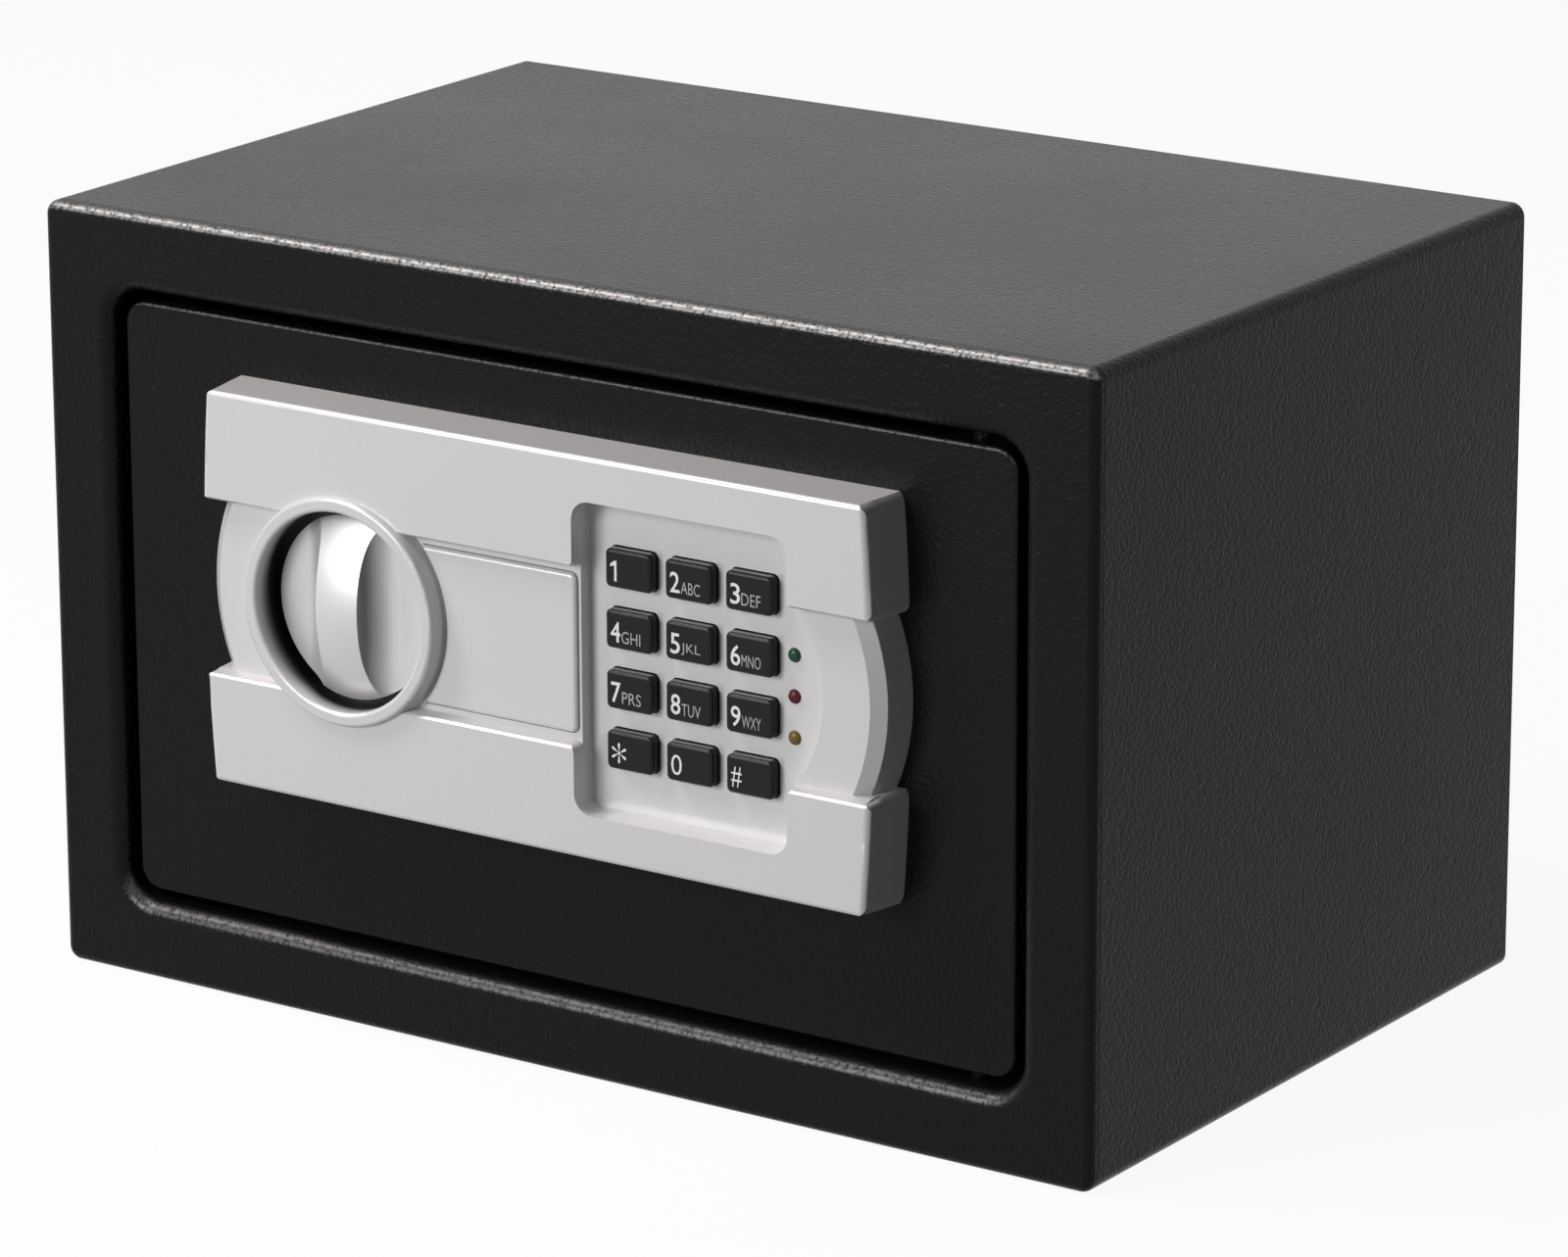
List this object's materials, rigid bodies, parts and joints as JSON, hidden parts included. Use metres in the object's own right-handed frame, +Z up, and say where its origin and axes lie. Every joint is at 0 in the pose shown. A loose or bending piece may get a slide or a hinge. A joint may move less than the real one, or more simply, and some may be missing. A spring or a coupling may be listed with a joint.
{
  "type": "electronic safe",
  "caption": "Small steel security safe with a hinged front door, a silver keypad panel with a turning knob, sliding locking bolts and anchor holes in its floor and back.",
  "frame": {"origin": "centre of the underside of the cabinet", "axes": "+X to the right seen from the front, +Y towards the back, +Z up"},
  "size_m": [0.31, 0.2142, 0.2],
  "materials": {
    "black_coat": "textured black powder coat",
    "mat_rubber": "matt ribless rubber sheet",
    "silver_moulding": "satin silver painted moulding",
    "zinc_steel": "zinc plated",
    "bolt_chrome": "polished",
    "dark_steel": "plain steel",
    "brass_metal": "turned",
    "coil_tape": "taped copper winding",
    "key_black": "smooth black key caps",
    "grey_rubber": "silicone sheet",
    "board_green": "solder resist",
    "lamp_green": "tinted lens, unlit",
    "lamp_red": "tinted lens, unlit",
    "lamp_yellow": "tinted lens, unlit",
    "white_nylon": "natural nylon",
    "black_plastic": "fine spark texture",
    "grey_cable": "flat ribbon",
    "red_plastic": "smooth",
    "cell_wrap": "plain sleeve, no print"
  },
  "bodies": {
    "cabinet": {"body_shell": "black_coat", "back_panel": "black_coat", "front_frame": "black_coat", "floor_mat": "mat_rubber", "hinge_bracket_upper": "black_coat", "hinge_bracket_lower": "black_coat"},
    "door": {"door_plate": "black_coat", "hinge_lug_upper": "black_coat", "hinge_lug_lower": "black_coat", "hinge_pin_upper": "zinc_steel", "hinge_pin_lower": "zinc_steel", "door_inner_cover": "black_coat", "cover_screws": "zinc_steel", "panel_housing": "silver_moulding", "panel_screws": "zinc_steel", "shaft_bush": "brass_metal", "bolt_guide": "zinc_steel", "guide_studs": "zinc_steel", "lock_barrel": "zinc_steel", "lock_nut": "zinc_steel", "solenoid_frame": "zinc_steel", "solenoid_coil": "coil_tape", "keypad_mat": "grey_rubber", "keypad_board": "board_green", "led_green": "lamp_green", "led_red": "lamp_red", "led_yellow": "lamp_yellow", "control_board": "board_green", "board_posts": "white_nylon", "buzzer": "black_plastic", "ribbon_cable": "grey_cable", "battery_box": "black_plastic", "battery_cells": "cell_wrap", "battery_contacts": "zinc_steel"},
    "knob": {"knob": "silver_moulding", "knob_shaft": "zinc_steel", "drive_cam": "dark_steel"},
    "bolt_carriage": {"bolt_carriage": "zinc_steel", "bolt_upper": "bolt_chrome", "bolt_lower": "bolt_chrome"},
    "plunger": {"solenoid_plunger": "dark_steel"},
    "badge_cover": {"badge_cover": "silver_moulding"},
    "lock_plug": {"lock_plug": "brass_metal", "lock_cam": "dark_steel"},
    "key_1": {"key_1": "key_black"},
    "key_2": {"key_2": "key_black"},
    "key_3": {"key_3": "key_black"},
    "key_4": {"key_4": "key_black"},
    "key_5": {"key_5": "key_black"},
    "key_6": {"key_6": "key_black"},
    "key_7": {"key_7": "key_black"},
    "key_8": {"key_8": "key_black"},
    "key_9": {"key_9": "key_black"},
    "key_star": {"key_star": "key_black"},
    "key_0": {"key_0": "key_black"},
    "key_hash": {"key_hash": "key_black"},
    "reset_button": {"reset_button": "red_plastic"},
    "battery_cover": {"battery_cover": "black_plastic"}
  },
  "joints": [
    {"name": "door_hinge", "type": "hinge", "parent": "cabinet", "child": "door", "pos_m": [0.118, -0.0895, 0.1], "axis": [0, 0, 1], "range_deg": [0, 105]},
    {"name": "knob_turn", "type": "hinge", "parent": "door", "child": "knob", "pos_m": [-0.0544, -0.1, 0.112], "axis": [0, -1, 0], "range_deg": [0, 60]},
    {"name": "bolt_slide", "type": "slide", "parent": "door", "child": "bolt_carriage", "axis": [-1, 0, 0], "range_m": [0, 0.014]},
    {"name": "plunger_slide", "type": "slide", "parent": "door", "child": "plunger", "axis": [0, 0, 1], "range_m": [0, 0.008]},
    {"name": "badge_pull", "type": "slide", "parent": "door", "child": "badge_cover", "axis": [0, -1, 0], "range_m": [0, 0.02]},
    {"name": "key_lock_turn", "type": "hinge", "parent": "door", "child": "lock_plug", "pos_m": [-0.0045, -0.1, 0.112], "axis": [0, -1, 0], "range_deg": [0, 90]},
    {"name": "key_1_press", "type": "slide", "parent": "door", "child": "key_1", "axis": [0, 1, 0], "range_m": [0, 0.0012], "stiffness_N_per_m": 600},
    {"name": "key_2_press", "type": "slide", "parent": "door", "child": "key_2", "axis": [0, 1, 0], "range_m": [0, 0.0012], "stiffness_N_per_m": 600},
    {"name": "key_3_press", "type": "slide", "parent": "door", "child": "key_3", "axis": [0, 1, 0], "range_m": [0, 0.0012], "stiffness_N_per_m": 600},
    {"name": "key_4_press", "type": "slide", "parent": "door", "child": "key_4", "axis": [0, 1, 0], "range_m": [0, 0.0012], "stiffness_N_per_m": 600},
    {"name": "key_5_press", "type": "slide", "parent": "door", "child": "key_5", "axis": [0, 1, 0], "range_m": [0, 0.0012], "stiffness_N_per_m": 600},
    {"name": "key_6_press", "type": "slide", "parent": "door", "child": "key_6", "axis": [0, 1, 0], "range_m": [0, 0.0012], "stiffness_N_per_m": 600},
    {"name": "key_7_press", "type": "slide", "parent": "door", "child": "key_7", "axis": [0, 1, 0], "range_m": [0, 0.0012], "stiffness_N_per_m": 600},
    {"name": "key_8_press", "type": "slide", "parent": "door", "child": "key_8", "axis": [0, 1, 0], "range_m": [0, 0.0012], "stiffness_N_per_m": 600},
    {"name": "key_9_press", "type": "slide", "parent": "door", "child": "key_9", "axis": [0, 1, 0], "range_m": [0, 0.0012], "stiffness_N_per_m": 600},
    {"name": "key_star_press", "type": "slide", "parent": "door", "child": "key_star", "axis": [0, 1, 0], "range_m": [0, 0.0012], "stiffness_N_per_m": 600},
    {"name": "key_0_press", "type": "slide", "parent": "door", "child": "key_0", "axis": [0, 1, 0], "range_m": [0, 0.0012], "stiffness_N_per_m": 600},
    {"name": "key_hash_press", "type": "slide", "parent": "door", "child": "key_hash", "axis": [0, 1, 0], "range_m": [0, 0.0012], "stiffness_N_per_m": 600},
    {"name": "reset_press", "type": "slide", "parent": "door", "child": "reset_button", "axis": [0, -1, 0], "range_m": [0, 0.0015], "stiffness_N_per_m": 600},
    {"name": "battery_cover_lift", "type": "slide", "parent": "door", "child": "battery_cover", "axis": [0, 1, 0], "range_m": [0, 0.02]}
  ],
  "couplings": [
    {"joint": "knob_turn", "follows": "bolt_slide", "rad_per_m": 74.8},
    {"joint": "plunger_slide", "follows": "bolt_slide", "ratio": 0.57143}
  ]
}
